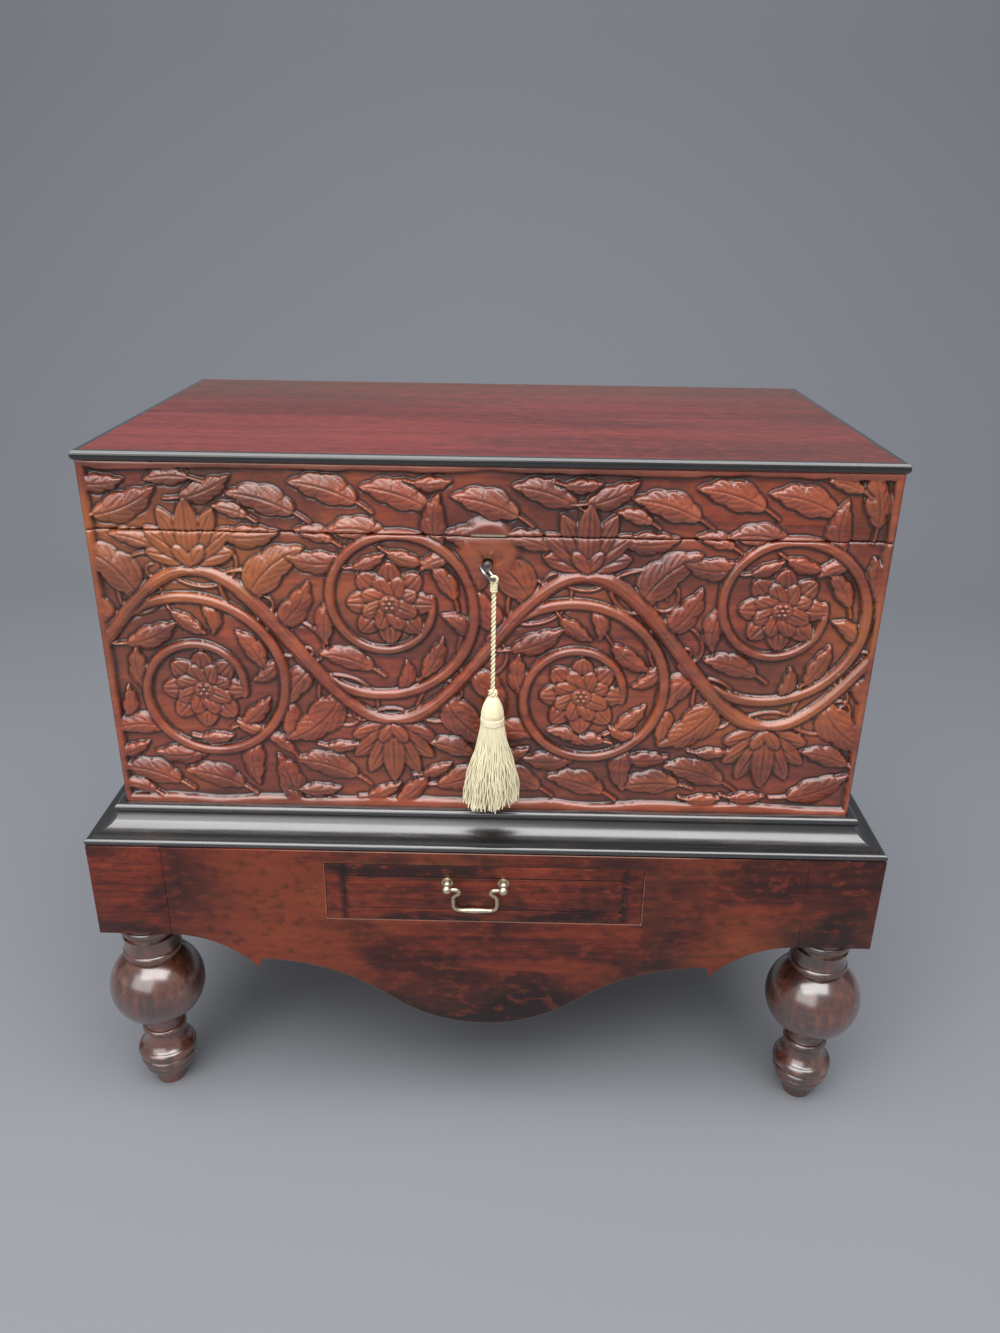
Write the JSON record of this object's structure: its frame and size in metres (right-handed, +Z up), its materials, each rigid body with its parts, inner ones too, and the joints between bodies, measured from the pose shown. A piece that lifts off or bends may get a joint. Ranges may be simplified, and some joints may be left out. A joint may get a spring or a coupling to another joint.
{
  "type": "chest on stand",
  "caption": "Lidded wooden chest with a carved front, on a stand with a shaped apron, a drawer with a bail handle and turned ball feet; key with a tassel in the lock.",
  "frame": {"origin": "on the floor, under the middle of the stand", "axes": "+Z up, +X to the right as seen from the front, front towards -Y"},
  "size_m": [0.9324, 0.5725, 0.8206],
  "materials": {
    "carved_wood": "carved, stained red-brown and waxed",
    "case_wood": "stained red-brown and waxed",
    "lid_wood": "stained maroon and polished",
    "ebonised_wood": "ebonised, satin polish",
    "stand_wood": "dark stained, polished",
    "turned_wood": "turned, dark stained, gloss",
    "inner_wood": "plain, unfinished",
    "brass": "aged, cast",
    "steel": "aged",
    "thread": "twisted rayon thread"
  },
  "bodies": {
    "stand_and_chest": {"apron_front": "stand_wood", "box_back": "case_wood", "box_bottom": "case_wood", "box_front": "carved_wood", "box_left_side": "case_wood", "box_right_side": "case_wood", "drawer_stops": "inner_wood", "foot_back_left": "turned_wood", "foot_back_right": "turned_wood", "foot_front_left": "turned_wood", "foot_front_right": "turned_wood", "frieze_back": "stand_wood", "frieze_left": "stand_wood", "frieze_right": "stand_wood", "hinge_left_box_leaf": "brass", "hinge_pins": "brass", "hinge_right_box_leaf": "brass", "hinge_screws_box": "steel", "keyhole_liner": "brass", "lock_case": "brass", "lock_screws": "steel", "moulding_back": "ebonised_wood", "moulding_front": "ebonised_wood", "moulding_left": "ebonised_wood", "moulding_right": "ebonised_wood", "post_back_left": "stand_wood", "post_back_right": "stand_wood", "post_front_left": "stand_wood", "post_front_right": "stand_wood", "runner_left": "inner_wood", "runner_right": "inner_wood", "stand_top": "inner_wood"},
    "lid": {"lid_top": "lid_wood", "lid_front_rail": "carved_wood", "lid_back_rail": "case_wood", "lid_left_rail": "case_wood", "lid_right_rail": "case_wood", "lid_edging_front": "ebonised_wood", "lid_edging_left": "ebonised_wood", "lid_edging_right": "ebonised_wood", "hinge_left_lid_leaf": "brass", "hinge_right_lid_leaf": "brass", "hinge_screws_lid": "steel", "lock_link_plate": "brass"},
    "drawer": {"drawer_front": "stand_wood", "drawer_left_side": "inner_wood", "drawer_right_side": "inner_wood", "drawer_back": "inner_wood", "drawer_bottom": "inner_wood", "handle_posts": "brass", "handle_nuts": "brass"},
    "bail": {"handle_bail": "brass"},
    "key": {"key": "steel"},
    "lock_bolt": {"lock_bolt": "steel"},
    "tassel": {"tassel_cord": "thread", "tassel_head": "thread", "tassel_skirt": "thread"}
  },
  "joints": [
    {"name": "lid_hinge", "type": "hinge", "parent": "stand_and_chest", "child": "lid", "pos_m": [0, 0.2338, 0.7386], "axis": [-1, 0, 0], "range_deg": [0, 95]},
    {"name": "drawer_slide", "type": "slide", "parent": "stand_and_chest", "child": "drawer", "axis": [0, -1, 0], "range_m": [0, 0.3]},
    {"name": "bail_swing", "type": "hinge", "parent": "drawer", "child": "bail", "pos_m": [-0.01, -0.28357, 0.3421], "axis": [-1, 0, 0], "range_deg": [0, 140]},
    {"name": "key_turn", "type": "hinge", "parent": "stand_and_chest", "child": "key", "pos_m": [0, -0.26, 0.7106], "axis": [0, 1, 0], "range_deg": [0, 90]},
    {"name": "bolt_slide", "type": "slide", "parent": "stand_and_chest", "child": "lock_bolt", "axis": [1, 0, 0], "range_m": [0, 0.01308]},
    {"name": "tassel_hang", "type": "hinge", "parent": "key", "child": "tassel", "pos_m": [0.00707, -0.26, 0.70353], "axis": [0, 1, 0], "range_deg": [-90, 0]}
  ],
  "couplings": [
    {"joint": "bolt_slide", "follows": "key_turn", "m_per_rad": 0.0083279},
    {"joint": "tassel_hang", "follows": "key_turn", "ratio": -1}
  ]
}
